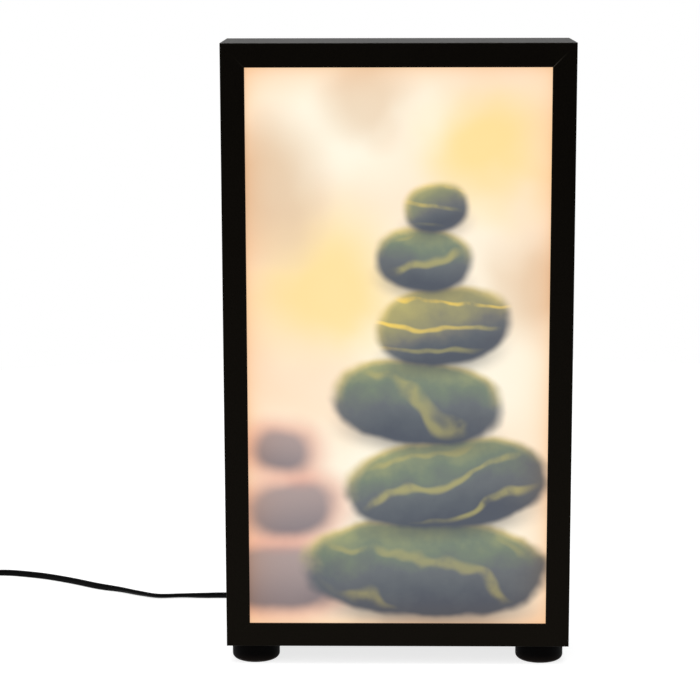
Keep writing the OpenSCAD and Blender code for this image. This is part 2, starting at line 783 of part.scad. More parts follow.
module cord_clamp() {
    arch_h = cord_t + fit;
    color(black_plastic) difference() {
        union() {
            translate([gland_x - clamp_fix_x - ear_l / 2, depth_y(cover_v - ear_t), clamp_z - clamp_w / 2])
                cube([2 * clamp_fix_x + ear_l, ear_t, clamp_w]);
            translate([gland_x - clamp_half - ear_t, depth_y(cover_v - arch_h - ear_t),
                clamp_z - clamp_w / 2])
                cube([2 * (clamp_half + ear_t), arch_h + ear_t, clamp_w]);
        }
        translate([gland_x - clamp_half, depth_y(cover_v - arch_h), clamp_z - clamp_w])
            cube([2 * clamp_half, arch_h + cut, 2 * clamp_w]);
        for (side = [-1, 1]) facing_back(gland_x + side * clamp_fix_x, cover_v - ear_t - cut, clamp_z)
            cylinder(d = screw_d + 2 * bolt_fit, h = ear_t + 2 * cut);
    }
}

// Back cover and what is fixed through it

module fixing_screws() {
    length = cover_t + ear_t + nut_h + fixing_tip;
    color(zinc) for (p = fixing_places) facing_back(p.x, cover_v + cover_t, p.y)
        pan_screw(screw_d, screw_head_d, screw_head_h, length);
}

module fixing_nuts() {
    color(zinc) for (p = fixing_places) facing_back(p.x, cover_v - ear_t - nut_h, p.y) difference() {
        cylinder(d = nut_d, h = nut_h, $fn = 6);
        translate([0, 0, -cut]) cylinder(d = screw_d + 2 * thread_fit, h = nut_h + 2 * cut);
    }
}

module vent_slots(centre_z) {
    for (column = [0 : vent_columns - 1], row = [0 : vent_rows - 1])
        translate([(column - (vent_columns - 1) / 2) * vent_pitch_x - vent_l / 2, depth_y(cover_v - cut),
            centre_z + (row - (vent_rows - 1) / 2) * vent_pitch_z - vent_w / 2])
            cube([vent_l, cover_t + 2 * cut, vent_w]);
}

module back_cover() {
    color(black_coat) difference() {
        plate(wall_t + fit, cover_v, cover_t);
        cover_screw_holes(cover_v, cover_t);
        for (p = fixing_places) facing_back(p.x, cover_v - cut, p.y)
            cylinder(d = screw_d + 2 * bolt_fit, h = cover_t + 2 * cut);
        facing_back(gland_x, cover_v - cut, bottom_z + gland_z)
            cylinder(d = gland_neck_d + 2 * bolt_fit, h = cover_t + 2 * cut);
        vent_slots(bottom_z + vent_z);
        vent_slots(top_z - vent_z);
    }
}

module back_cover_screws() {
    length = cover_t + tray_t + ledge_t;
    color(zinc) for (p = cover_screw_places) facing_back(p.x, cover_v + cover_t, p.y)
        pan_screw(screw_d, screw_head_d, screw_head_h, length);
}

// Moulded strain relief: a neck through the cover, a flange outside it and a ribbed bending sleeve
module cord_gland() {
    neck_l = gland_y - gland_inner_y;
    rib_step = gland_sleeve_l / (2 * gland_ribs);
    color(black_plastic) translate([gland_x, gland_y, bottom_z + gland_z]) rotate([-90, 0, 0]) {
        translate([0, 0, -neck_l]) cylinder(d = gland_neck_d, h = neck_l);
        cylinder(d = gland_flange_d, h = gland_flange_t);
        translate([0, 0, gland_flange_t]) difference() {
            cylinder(d1 = gland_neck_d, d2 = gland_tip_d, h = gland_sleeve_l);
            for (i = [1 : gland_ribs - 1]) translate([0, 0, (2 * i - 0.5) * rib_step]) difference() {
                cylinder(d = gland_flange_d, h = rib_step);
                translate([0, 0, -cut]) cylinder(
                    d = gland_neck_d - (gland_neck_d - gland_tip_d) * i / gland_ribs - 2 * gland_rib_depth,
                    h = rib_step + 2 * cut);
            }
        }
    }
}

module gland_nut() {
    color(black_plastic) facing_back(gland_x, cover_v - gland_nut_h, bottom_z + gland_z) difference() {
        cylinder(d = gland_nut_d, h = gland_nut_h, $fn = 6);
        translate([0, 0, -cut]) cylinder(d = gland_neck_d + 2 * thread_fit, h = gland_nut_h + 2 * cut);
    }
}

// Feet

module at_feet() {
    for (x = [-foot_x, foot_x], y = [-foot_y, foot_y]) translate([x, y, 0]) children();
}

module foot(side, end) {
    top_round = 1.5;
    color(black_rubber) translate([side * foot_x, end * foot_y, 0]) rotate_extrude() difference() {
        square([foot_d / 2, foot_h]);
        translate([foot_d / 2, 0]) corner_round(foot_round, 90);
        translate([foot_d / 2, foot_h]) corner_round(top_round, 180);
        translate([0, -cut]) square([foot_washer_d / 2 + fit, foot_bore_h + cut]);
        square([foot_screw_d / 2 + bolt_fit, foot_h + cut]);
    }
}

module foot_screws() {
    seat_z = foot_bore_h - foot_washer_t;
    length = foot_h + key_u + key_t + foot_tip - seat_z;
    color(zinc) at_feet() translate([0, 0, seat_z]) mirror([0, 0, 1])
        pan_screw(foot_screw_d, foot_screw_head_d, foot_screw_head_h, length);
}

module foot_washers() {
    color(zinc) at_feet() translate([0, 0, foot_bore_h - foot_washer_t]) difference() {
        cylinder(d = foot_washer_d, h = foot_washer_t);
        translate([0, 0, -cut]) cylinder(d = foot_screw_d + 2 * bolt_fit, h = foot_washer_t + 2 * cut);
    }
}

// Cord

gland_exit = [gland_x, gland_end_y, bottom_z + gland_z];
lamp_side_points = concat(
    [for (p = gland_drop) [gland_exit.x + p.x, gland_exit.y + p.y, gland_exit.z + p.z, p[3]]],
    floor_run);

// Least height of the cord's centre over the floor at a given roll
function rest_z(roll) = floor_gap + max([for (q = flat_section(cord_w, cord_t)) rolled(q, roll).y]);

module cord_lamp_side() {
    color(black_plastic) swept_tube(
        [for (p = smooth_line(lamp_side_points, 2)) [p.x, p.y, max(p.z, rest_z(p[3])), p[3]]],
        flat_section(cord_w, cord_t), leave = [0, 1, 0], arrive = towards_plug);
}

module cord_plug_side() {
    color(black_plastic) swept_tube(smooth_line(plug_side_run, 2), flat_section(cord_w, cord_t),
        leave = towards_plug, arrive = towards_plug);
}

module cord_coil() {
    color(black_plastic) swept_tube(coil_path, thin_section(cord_w, cord_t),
        leave = towards_plug, arrive = towards_plug);
}

module cord_tail() {
    color(black_plastic) swept_tube(smooth_line(tail_run, 3), flat_section(cord_w, cord_t),
        leave = towards_plug, arrive = towards_plug);
}

// Strap round the bundle of turns, on the side of the coil away from the entering cord
module coil_tie() {
    slack = 0.4;
    corner = 0.7;
    bundle_inner = coil_radius(coil_turns / 2) - cord_t / 2;
    inner = sqrt(bundle_inner * bundle_inner - tie_w * tie_w / 4) - slack;
    outer = coil_radius(0.5) + cord_t / 2 + slack;
    high = coil_z + coil_layer + cord_w / 2 + slack;
    module loop_outline(grow) {
        polygon([[inner - grow + corner, tie_t - grow], [outer + grow - corner, tie_t - grow],
            [outer + grow, tie_t - grow + corner], [outer + grow, high + grow - corner],
            [outer + grow - corner, high + grow], [inner - grow + corner, high + grow],
            [inner - grow, high + grow - corner], [inner - grow, tie_t - grow + corner]]);
    }
    color(black_rubber) translate([coil_centre.x, coil_centre.y + tie_w / 2, 0]) rotate([90, 0, 0])
        mirror([1, 0, 0]) linear_extrude(tie_w) difference() {
            loop_outline(tie_t);
            loop_outline(0);
        }
}

// Foot switch, modelled along Y round its own centre

module at_switch() { translate([switch_x, switch_y, 0]) children(); }

// A flat outline in the plane of radius and height, carried round a racetrack
module racetrack() {
    half = switch_straight / 2;
    for (end = [0, 1]) rotate(180 * end) translate([0, half, 0]) rotate_extrude(angle = 180) children();
    translate([0, half, 0]) rotate([90, 0, 0]) linear_extrude(switch_straight) {
        children();
        mirror([1, 0]) children();
    }
}

module switch_screw_places() {
    for (side = [-1, 1]) translate([side * boss_at.x, side * boss_at.y, 0]) children();
}

module switch_base() {
    rib_gap = 5;
    rib_w = 16;
    color(black_plastic) at_switch() difference() {
        union() {
            racetrack() square([switch_w / 2 - switch_reveal, switch_base_t]);
            for (end = [-1, 1], row = [0, 1])
                translate([-rib_w / 2, end * (contact_block.y / 2 + 6 + row * rib_gap) - rib_t / 2, 0])
                    cube([rib_w, rib_t, collar_z - cord_t / 2]);
        }
        switch_screw_places() {
            translate([0, 0, -cut]) cylinder(d = switch_screw_d + 2 * bolt_fit, h = switch_base_t + 2 * cut);
            translate([0, 0, -cut]) cylinder(d = switch_head_d + 2 * bolt_fit, h = switch_head_h + cut);
        }
    }
}

module case_outline(inset, low) {
    half = switch_w / 2 - inset;
    high = switch_h - inset;
    difference() {
        translate([0, low]) square([half, high - low]);
        translate([half, high]) corner_round(shoulder_r - inset, 180);
    }
}

// Cord collar on the end of the case, with grooves that let it bend
module switch_collar() {
    high = collar_z + collar.y / 2 - switch_base_t;
    translate([0, switch_l / 2, switch_base_t]) difference() {
        translate([-collar.x / 2, -shoulder_r, 0]) cube([collar.x, shoulder_r + collar_l, high]);
        for (row = [1, 2]) translate([0, row * collar_l / 3, 0]) difference() {
            translate([-collar.x, 0, -cut]) cube([2 * collar.x, collar_groove.x, high + 2 * cut]);
            translate([collar_groove.y - collar.x / 2, -cut, -2 * cut])
                cube([collar.x - 2 * collar_groove.y, collar_groove.x + 2 * cut,
                    high - collar_groove.y + 2 * cut]);
        }
    }
}

module switch_cover() {
    color(black_plastic) at_switch() difference() {
        union() {
            difference() {
                union() {
                    racetrack() case_outline(0, switch_base_t);
                    for (end = [0, 1]) rotate(180 * end) switch_collar();
                }
                racetrack() case_outline(switch_wall, switch_base_t - cut);
            }
            switch_screw_places() translate([0, 0, switch_base_t])
                cylinder(d = boss_d, h = switch_inner_h - switch_base_t + cut / 2);
        }
        switch_screw_places() translate([0, 0, switch_base_t - cut])
            cylinder(d = switch_pilot_d + 4 * thread_fit, h = switch_screw_bite + 2 * cut);
        translate([0, 0, switch_inner_h - cut])
            cylinder(d = button_d + 2 * slide_fit, h = switch_wall + 2 * cut);
    }
}

module switch_contacts() {
    terminal_d = 5;
    terminal_cut = 3;
    color("ivory") at_switch() difference() {
        translate([-contact_block.x / 2, -contact_block.y / 2, switch_base_t]) cube(contact_block);
        for (side = [-1, 1], end = [-1, 1])
            translate([side * contact_block.x / 3, end * contact_block.y / 3, contact_top - terminal_cut])
                cylinder(d = terminal_d, h = terminal_cut + cut);
    }
}

module switch_leads() {
    start = contact_block.y / 2;
    inner_r = switch_w / 2 - switch_wall;
    length = switch_straight / 2 + sqrt(pow(inner_r, 2) - pow(cord_w / 2, 2)) - fit - start;
    color(black_plastic) at_switch() for (end = [0, 1]) rotate(180 * end)
        translate([0, start, collar_z]) rotate([-90, 0, 0]) linear_extrude(length)
            polygon(flat_section(cord_w, cord_t));
}

module switch_spring() {
    low = contact_top + spring_wire + thread_fit;
    high = spring_top - spring_wire - thread_fit;
    rings = 8 * spring_turns;
    path = [for (k = [0 : rings]) let (a = 360 * spring_turns * k / rings)
        [spring_r * cos(a), spring_r * sin(a), low + (high - low) * k / rings, 0]];
    color(zinc) at_switch() swept_tube(path, round_section(2 * spring_wire, 6));
}

module switch_screws() {
    color(zinc) at_switch() switch_screw_places() translate([0, 0, switch_head_h]) mirror([0, 0, 1])
        pan_screw(switch_pilot_d, switch_head_d, switch_head_h - thread_fit,
            switch_base_t - switch_head_h + switch_screw_bite);
}

module switch_button() {
    top = switch_h + button_rise;
    color(black_plastic) at_switch() difference() {
        rotate_extrude() difference() {
            union() {
                translate([0, button_flange_low]) square([button_d / 2 + button_flange, button_flange_t]);
                translate([0, button_flange_low]) square([button_d / 2, top - button_flange_low]);
            }
            translate([button_d / 2, top]) corner_round(button_round, 180);
            translate([0, button_flange_low - cut])
                square([spring_seat_d / 2, spring_top - button_flange_low + cut]);
        }
        translate([0, 0, top + button_dish_r - button_dish]) sphere(r = button_dish_r, $fn = 96);
    }
}

// Plug, lying along Y with its pins towards the front

module plug_section(w, t, chamfer) {
    polygon([[-w / 2 + chamfer, -t / 2], [w / 2 - chamfer, -t / 2], [w / 2, -t / 2 + chamfer],
        [w / 2, t / 2 - chamfer], [w / 2 - chamfer, t / 2], [-w / 2 + chamfer, t / 2],
        [-w / 2, t / 2 - chamfer], [-w / 2, -t / 2 + chamfer]]);
}

module plug_slice(y, w, t, chamfer) {
    slice = 0.5;
    translate([0, y, plug_z]) rotate([90, 0, 0]) linear_extrude(slice) plug_section(w, t, chamfer);
}

module plug_body() {
    slice = 0.5;
    face_part = 0.55;
    color(black_plastic) translate([switch_x, 0, 0]) difference() {
        union() {
            hull() {
                plug_slice(plug_face_y + slice, plug_w, plug_t, plug_chamfer);
                plug_slice(plug_body_y - face_part * plug_l, plug_w, plug_t, plug_chamfer);
            }
            hull() {
                plug_slice(plug_body_y - face_part * plug_l, plug_w, plug_t, plug_chamfer);
                plug_slice(plug_body_y, plug_neck_w, plug_t - 1, plug_chamfer);
            }
            translate([0, plug_body_y - cut, plug_z]) rotate([-90, 0, 0])
                cylinder(d1 = plug_sleeve_d, d2 = plug_tip_d, h = plug_sleeve_l + cut);
        }
        for (side = [-1, 1]) translate([side * pin_pitch / 2, plug_face_y - cut, plug_z]) rotate([-90, 0, 0])
            cylinder(d = pin_core_d + 2 * thread_fit, h = pin_seat + cut);
        for (row = [1 : grip_rows], face = [0, 1])
            translate([-grip_cut.x / 2, plug_body_y - row * grip_step - grip_cut.y / 2,
                face * plug_t + (face - 1) * cut - face * grip_cut.z])
                cube([grip_cut.x, grip_cut.y, grip_cut.z + cut]);
    }
}

module at_pins() {
    for (side = [-1, 1])
        translate([switch_x + side * pin_pitch / 2, plug_face_y, plug_z]) rotate([90, 0, 0]) children();
}

module plug_pins() {
    tip_round = 1;
    color(brass) at_pins() {
        translate([0, 0, -pin_seat]) cylinder(d = pin_core_d, h = pin_seat + sleeve_l + cut);
        translate([0, 0, sleeve_l]) rotate_extrude() difference() {
            square([pin_d / 2, pin_l - sleeve_l]);
            translate([pin_d / 2, pin_l - sleeve_l]) corner_round(tip_round, 180);
        }
    }
}

module plug_pin_sleeves() {
    color(black_plastic) at_pins() difference() {
        cylinder(d = sleeve_d, h = sleeve_l);
        translate([0, 0, -cut]) cylinder(d = pin_core_d + 2 * thread_fit, h = sleeve_l + 2 * cut);
    }
}

top_rail();
bottom_rail();
stile(-1);  // left_stile
stile(1);  // right_stile
corner_keys();
corner_key_screws();
front_panel();
graphic_film();
diffuser_sheet();
setting_blocks();
retainer_top();
retainer_bottom();
retainer_left();
retainer_right();
reflector_tray();
led_bar(0);  // led_bar_1
led_bar(1);  // led_bar_2
led_bar(2);  // led_bar_3
led_bar(3);  // led_bar_4
led_chips();
bar_jumpers();
lead_connector();
dc_lead();
tray_grommet();
led_driver();
terminal_block();
input_wires();
mains_tail();
cord_clamp();
fixing_screws();
fixing_nuts();
back_cover();
back_cover_screws();
cord_gland();
gland_nut();
foot(-1, -1);  // foot_front_left
foot(1, -1);  // foot_front_right
foot(-1, 1);  // foot_rear_left
foot(1, 1);  // foot_rear_right
foot_screws();
foot_washers();
cord_lamp_side();
switch_base();
switch_cover();
switch_contacts();
switch_leads();
switch_spring();
switch_screws();
switch_button();
cord_plug_side();
cord_coil();
coil_tie();
cord_tail();
plug_body();
plug_pins();
plug_pin_sleeves();
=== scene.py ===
import json
import math

import bpy
from mathutils import Matrix, Vector


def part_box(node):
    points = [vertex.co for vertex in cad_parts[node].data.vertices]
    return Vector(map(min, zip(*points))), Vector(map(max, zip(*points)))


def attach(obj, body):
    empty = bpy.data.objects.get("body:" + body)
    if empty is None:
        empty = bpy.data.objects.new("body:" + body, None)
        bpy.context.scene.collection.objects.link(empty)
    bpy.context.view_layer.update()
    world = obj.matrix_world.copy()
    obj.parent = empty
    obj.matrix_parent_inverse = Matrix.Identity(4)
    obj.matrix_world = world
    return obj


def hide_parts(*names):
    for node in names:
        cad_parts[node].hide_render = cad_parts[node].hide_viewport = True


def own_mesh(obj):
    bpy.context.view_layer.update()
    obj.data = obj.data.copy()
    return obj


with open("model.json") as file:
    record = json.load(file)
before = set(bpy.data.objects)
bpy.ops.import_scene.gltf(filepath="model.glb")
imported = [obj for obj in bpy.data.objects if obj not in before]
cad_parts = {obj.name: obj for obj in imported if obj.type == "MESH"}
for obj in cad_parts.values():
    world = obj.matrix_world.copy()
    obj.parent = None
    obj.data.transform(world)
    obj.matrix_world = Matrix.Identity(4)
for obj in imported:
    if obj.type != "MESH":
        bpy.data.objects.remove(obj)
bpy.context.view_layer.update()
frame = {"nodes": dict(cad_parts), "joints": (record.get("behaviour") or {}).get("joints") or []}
nodes = frame["nodes"]
scene = bpy.context.scene
scene.view_settings.view_transform = "Standard"
mm = 0.001
perMetre = 1000  # mm
print("frame loaded,", len(nodes), "nodes")

# camera: long lens from the front, a little above the lamp
cameraSetup = {
    "place": (-8.93, -2171.31, 692.52),  # mm
    "down": 10.249,  # degrees
    "turn": 0.981,
    "tilt": -0.139,
    "lens": 117.459,
    "sensor": 36,
    "clip": (0.05, 60),  # metres
}


def addCamera(setup):
    data = bpy.data.cameras.new("photoCamera")
    data.lens, data.sensor_width = setup["lens"], setup["sensor"]
    data.clip_start, data.clip_end = setup["clip"]
    camera = bpy.data.objects.new("photoCamera", data)
    scene.collection.objects.link(camera)
    turned = (
        Matrix.Rotation(math.radians(setup["turn"]), 4, "Z")
        @ Matrix.Rotation(math.radians(90 - setup["down"]), 4, "X")
        @ Matrix.Rotation(math.radians(setup["tilt"]), 4, "Z")
    )
    camera.matrix_world = Matrix.Translation(Vector(setup["place"]) * mm) @ turned
    scene.camera = camera


addCamera(cameraSetup)
print("camera set")

# flat two-core cord, in mm; the fourth number of a point is its roll, 0 flat and 90 on edge
flatCord = {
    "width": 7,
    "thickness": 4,
    "rounds": 7,  # points on each rounded edge
    "overFloor": 0.1,
    "fineSteps": 6,
    "lampRun": [
        (-110, 79.4, 58.5, 0), (-110, 94.4, 56.5, 0), (-112, 109.4, 48.5, 0), (-116, 123.4, 33.5, 4),
        (-124, 139.4, 17.5, 14), (-137, 155, 5, 31), (-156, 167, 0, 51), (-180, 172, 0, 63),
        (-205, 172, 0, 50), (-230, 173, 0, 28), (-254, 171, 0, 32), (-276, 181, 0, 44),
        (-296, 193, 0, 53), (-322, 205, 0, 85), (-352, 225, 0, 86), (-382, 242, 0, 82),
        (-408, 252, 0, 82), (-428, 257, 0, 78), (-446, 256.5, 0, 70), (-460, 248, 0, 50),
        (-468, 232, 3.5, 20), (-470, 211, 6.5, 0),
    ],
    "plugRun": [(-470, 111, 6.5, 0), (-470, 101, 6.5, 20), (-470, 83, 4.3, 80), (-470, 73, 4.3, 90)],
    "tailRun": [(-470, 59, 12.1, 90), (-470, 45, 12.1, 84), (-470, 25, 7.85, 30), (-470, 9, 6.85, 0)],
}
# spirals in on the floor, climbs half way and spirals out again on top
storedCoil = {
    "centre": (-512, 66),
    "turns": 5,
    "radius": 42,
    "step": 5.4,
    "low": 4.3,
    "layer": 7.8,
    "climb": 0.25,  # turns before and after the middle
    "pointsPerTurn": 48,
}


def cordSection(cord):
    r, flat = cord["thickness"] / 2, (cord["width"] - cord["thickness"]) / 2
    ring = []
    for side in (1, -1):
        for k in range(cord["rounds"]):
            a = math.pi * (k / (cord["rounds"] - 1) - 0.5)
            ring.append((side * (flat + r * math.cos(a)), side * r * math.sin(a)))
    return ring


def curveValue(p, q, r, s, t):  # smooth from q to r, with p before and s after
    return (2 * q + (r - p) * t + (2 * p - 5 * q + 4 * r - s) * t * t
            + (3 * q - p - 3 * r + s) * t ** 3) / 2


def smoothRun(points, steps):
    last, run = len(points) - 1, []
    for i in range(last):
        four = (points[max(i - 1, 0)], points[i], points[i + 1], points[min(i + 2, last)])
        for k in range(steps):
            run.append(tuple(curveValue(*values, k / steps) for values in zip(*four)))
    return run + [points[last]]


def coilRun(coil):
    run = []
    for k in range(coil["turns"] * coil["pointsPerTurn"] + 1):
        s = k / coil["pointsPerTurn"]
        r = coil["radius"] - coil["step"] * min(s, coil["turns"] - s)
        t = max(0, min(1, (s - coil["turns"] / 2 + coil["climb"]) / (2 * coil["climb"])))
        a = 2 * math.pi * s
        run.append((coil["centre"][0] + r * math.cos(a), coil["centre"][1] - r * math.sin(a),
                    coil["low"] + coil["layer"] * t * t * (3 - 2 * t), 90))
    return run


def restHeight(cord, roll):
    a = math.radians(roll)
    return cord["overFloor"] + max(x * math.sin(a) + y * math.cos(a) for x, y in cordSection(cord))


def sweepCord(name, cord, run, leave, arrive):
    ring = cordSection(cord)
    count, verts, faces, uvs = len(ring), [], [], []
    places = [Vector(p[:3]) for p in run]
    last = len(places) - 1
    girth = sum((Vector(ring[j]) - Vector(ring[j - 1])).length for j in range(count))
    travelled = [0.0]
    for i in range(last):
        travelled.append(travelled[-1] + (places[i + 1] - places[i]).length)
    ends = {0: Vector(leave), last: Vector(arrive)}
    for i, place in enumerate(places):
        along = ends[i] if i in ends else (places[i + 1] - places[i - 1]).normalized()
        side = Vector((0, 0, 1)).cross(along).normalized()
        above = along.cross(side)
        c, s = math.cos(math.radians(run[i][3])), math.sin(math.radians(run[i][3]))
        verts += [(place + (x * c - y * s) * side + (x * s + y * c) * above) * mm for x, y in ring]
    for i in range(last):
        for j in range(count):
            a, b = i * count + j, i * count + (j + 1) % count
            faces.append((a, b, b + count, a + count))
            u0, u1 = j / count * girth * mm, (j + 1) / count * girth * mm
            v0, v1 = travelled[i] * mm, travelled[i + 1] * mm
            uvs += [(u0, v0), (u1, v0), (u1, v1), (u0, v1)]
    faces += [tuple(reversed(range(count))), tuple(range(len(verts) - count, len(verts)))]
    uvs += [(0, 0)] * (2 * count)
    mesh = bpy.data.meshes.new(name)
    mesh.from_pydata(verts, [], faces)
    layer = mesh.uv_layers.new(name="cordMap")
    for loop, uv in zip(layer.data, uvs):
        loop.uv = uv
    mesh.polygons.foreach_set("use_smooth", [len(f) == 4 for f in faces])
    mesh.update()
    made = bpy.data.objects.new(name, mesh)
    scene.collection.objects.link(made)
    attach(made, "lamp")
    return made, [tuple(p * mm) for p in places], travelled[-1] * mm


# return spring in the foot switch, wound at its rest length; the real one shortens as the button goes down
returnSpring = {
    "node": "switch_spring",
    "joint": "switch_press",
    "turns": 4,
    "wireRadius": 0.5,
    "wireSides": 10,
    "turnSteps": 24,
}


def addSpring(spring):
    low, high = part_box(spring["node"])
    middle, wire = (low + high) / 2, spring["wireRadius"] * mm
    travel = next(joint["range_m"][1] for joint in frame["joints"] if joint["name"] == spring["joint"])
    bpy.ops.object.select_all(action="DESELECT")
    bpy.ops.mesh.primitive_circle_add(vertices=spring["wireSides"], radius=wire, enter_editmode=True)
    bpy.ops.transform.rotate(value=math.pi / 2, orient_axis="X", center_override=(0, 0, 0))
    bpy.ops.transform.translate(value=((high.x - low.x) / 2 - wire, 0, low.z + wire))
    bpy.ops.object.mode_set(mode="OBJECT")
    wound = bpy.context.object
    wound.name = wound.data.name = "returnSpring"
    wind = wound.modifiers.new("wind", "SCREW")
    wind.axis, wind.angle, wind.iterations = "Z", 2 * math.pi, spring["turns"]
    wind.screw_offset = (high.z - low.z - 2 * wire) / spring["turns"]
    wind.steps = wind.render_steps = spring["turnSteps"]
    bpy.ops.object.modifier_apply(modifier="wind")
    bpy.ops.object.mode_set(mode="EDIT")
    bpy.ops.mesh.select_all(action="SELECT")
    bpy.ops.mesh.fill_holes(sides=0)  # the cut ends of the wire
    bpy.ops.mesh.normals_make_consistent(inside=False)
    bpy.ops.object.mode_set(mode="OBJECT")
    bpy.ops.object.shade_smooth()
    wound.location = (middle.x, middle.y, 0)
    bpy.ops.object.transform_apply(location=True)
    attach(wound, "lamp")
    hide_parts(spring["node"])
    1 - travel / (high.z - low.z)
    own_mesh(wound)
    return wound


springPiece = addSpring(returnSpring)
print("spring wound")


def addCords(cord, coil):
    toBack, toPlug = (0, 1, 0), (0, -1, 0)
    lampRun = [(x, y, max(z, restHeight(cord, roll)), roll)
               for x, y, z, roll in smoothRun(cord["lampRun"], cord["fineSteps"])]
    lampCord, lampPath, lampLength = sweepCord("cordToSwitch", cord, lampRun, toBack, toPlug)
    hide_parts("cord_lamp_side")
    plugRun = (smoothRun(cord["plugRun"], cord["fineSteps"]) + coilRun(coil)
               + smoothRun(cord["tailRun"], cord["fineSteps"]))
    plugCord, plugPath, plugLength = sweepCord("cordToPlug", cord, plugRun, toPlug, toPlug)
    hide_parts("cord_plug_side", "cord_coil", "cord_tail")
    print("cords laid, %.3f m and %.3f m" % (lampLength, plugLength))
    return [lampCord, plugCord]


cords = addCords(flatCord, storedCoil)


class Wire:
    # a socket of a material: arithmetic on it adds Math nodes, node() adds any other
    def __init__(self, tree, socket):
        self.tree, self.socket = tree, socket

    def node(self, kind, settings=None, links=None, out=0):
        made = self.tree.nodes.new("ShaderNode" + kind)
        for key, value in (settings or {}).items():
            if key == "stops":
                band = made.color_ramp
                while len(band.elements) < len(value):
                    band.elements.new(0.5)
                for element, (at, colour) in zip(band.elements, value):
                    element.position, element.color = at, colour
            else:
                setattr(made, key, value)
        for key, value in (links or {}).items():
            if isinstance(value, Wire):
                self.tree.links.new(value.socket, made.inputs[key])
            else:
                made.inputs[key].default_value = value
        return Wire(self.tree, made.outputs[out])

    def other(self, out):
        return Wire(self.tree, self.socket.node.outputs[out])

    def math(self, operation, *values):
        return self.node("Math", {"operation": operation}, dict(enumerate(values)))

    def __add__(self, v):
        return self.math("ADD", self, v)

    def __radd__(self, v):
        return self.math("ADD", v, self)

    def __sub__(self, v):
        return self.math("SUBTRACT", self, v)

    def __rsub__(self, v):
        return self.math("SUBTRACT", v, self)

    def __mul__(self, v):
        return self.math("MULTIPLY", self, v)

    def __rmul__(self, v):
        return self.math("MULTIPLY", v, self)

    def __truediv__(self, v):
        return self.math("DIVIDE", self, v)

    def __pow__(self, v):
        return self.math("POWER", self, v)

    def __abs__(self):
        return self.math("ABSOLUTE", self)

    def least(self, v):
        return self.math("MINIMUM", self, v)

    def most(self, v):
        return self.math("MAXIMUM", self, v)

    def mixed(self, v, share):  # values, with that share of v
        return self * (1 - share) + v * share

    def step(self, low, high):  # 0 at low, 1 at high, eased
        return self.node("MapRange", {"interpolation_type": "SMOOTHSTEP"},
                         {"Value": self, "From Min": low, "From Max": high})

    def scaled(self, low, high):  # 0..1 stretched to low..high
        return self.node("MapRange", None, {"Value": self, "To Min": low, "To Max": high})

    def blend(self, first, second):  # colours, by this factor
        return self.node("Mix", {"data_type": "RGBA"}, {0: self, 6: first, 7: second}, 2)

    def noise(self, scale, detail=2.0):
        return self.node("TexNoise", None, {"Vector": self, "Scale": scale, "Detail": detail})

    def sway(self, scale, reach):  # noise about 0
        return (self.noise(scale) - 0.5) * reach

    def stretched(self, x, y, z):
        return self.node("Mapping", None, {"Vector": self, "Scale": (x, y, z)})

    def split(self):
        parts = self.node("SeparateXYZ", None, {0: self})
        return parts, parts.other(1), parts.other(2)


def tone(red, green, blue):  # screen colour 0..255 to a colour socket's value
    screen = [c / 255 for c in (red, green, blue)]
    return (*[c / 12.92 if c <= 0.04045 else ((c + 0.055) / 1.055) ** 2.4 for c in screen], 1)


def startFinish(name, source="Object"):
    made = bpy.data.materials.new(name)
    made.use_nodes = True
    first = Wire(made.node_tree, None)
    return made, first.node("TexCoord", out=source)


def closeFinish(made, fixed, varying, height, bump):
    tree = made.node_tree
    shader = tree.nodes["Principled BSDF"]
    for key, value in fixed.items():
        shader.inputs[key].default_value = value
    strength, distance = bump
    raised = height.node("Bump", None, {"Strength": strength, "Distance": distance, "Height": height})
    for key, value in dict(varying, Normal=raised).items():
        tree.links.new(value.socket, shader.inputs[key])
    return made


# outer edges of the frame from the front and the width of its flange, in mm
frameEdge = {
    "halfWidth": round(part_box("right_stile")[1].x * perMetre, 3),
    "low": round(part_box("bottom_rail")[0].z * perMetre, 3),
    "high": round(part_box("top_rail")[1].z * perMetre, 3),
    "flange": 22.5,
}
# black powder coat on the extrusion and the cover; each mitre joint shows as a light hairline, a painted
# highlight that is stronger at some corners
powderCoat = {
    "colour": tone(5, 4, 3), "pale": tone(9, 7, 5), "rough": (0.42, 0.52),
    "gloss": 0.07, "sheen": (1, 0.84, 0.62, 1),
    "cloud": 9, "speck": 900, "speckShare": 0.4, "bump": (0.4, 0.0003),
    "line": tone(80, 75, 68), "lineEdge": (0.18, 0.45), "lineFrom": 5, "lineEnd": 0.2, "lineSmooth": 0.12,
    "mitreGlintLow": (0.06, 0.06), "mitreGlintHigh": (0.15, 1.0),  # left and right mitre, share of the painted highlight, 0 none
}
coverCoat = {
    "colour": tone(17, 17, 16), "pale": tone(25, 25, 24), "rough": (0.36, 0.5),
    "gloss": 0.3, "sheen": (1, 1, 1, 1),
    "cloud": 9, "speck": 900, "speckShare": 0.4, "bump": (0.4, 0.0003),
}


def mitreLine(place, coat, edge):  # mitre joint as a light hairline, a painted highlight, strongest at the inner corner
    x, z = [axis * perMetre for axis in place.split()[::2]]
    fromSide = edge["halfWidth"] - abs(x)
    fromEnd = (z - edge["low"]).least(edge["high"] - z)
    onLine = 1 - abs(fromSide - fromEnd).step(*coat["lineEdge"])
    inward = ((fromSide - coat["lineFrom"]) / (edge["flange"] - coat["lineFrom"])).most(0)
    onFlange = inward ** 2 * (1 - fromSide.step(edge["flange"], edge["flange"] + coat["lineEnd"]))
    atRight = x.math("GREATER_THAN", x, 0)
    atTop = z.math("GREATER_THAN", z * 2, edge["low"] + edge["high"])
    mitreGlintLow, mitreGlintHigh = atRight.scaled(*coat["mitreGlintLow"]), atRight.scaled(*coat["mitreGlintHigh"])
    return onLine * onFlange * (mitreGlintLow + atTop * (mitreGlintHigh - mitreGlintLow))


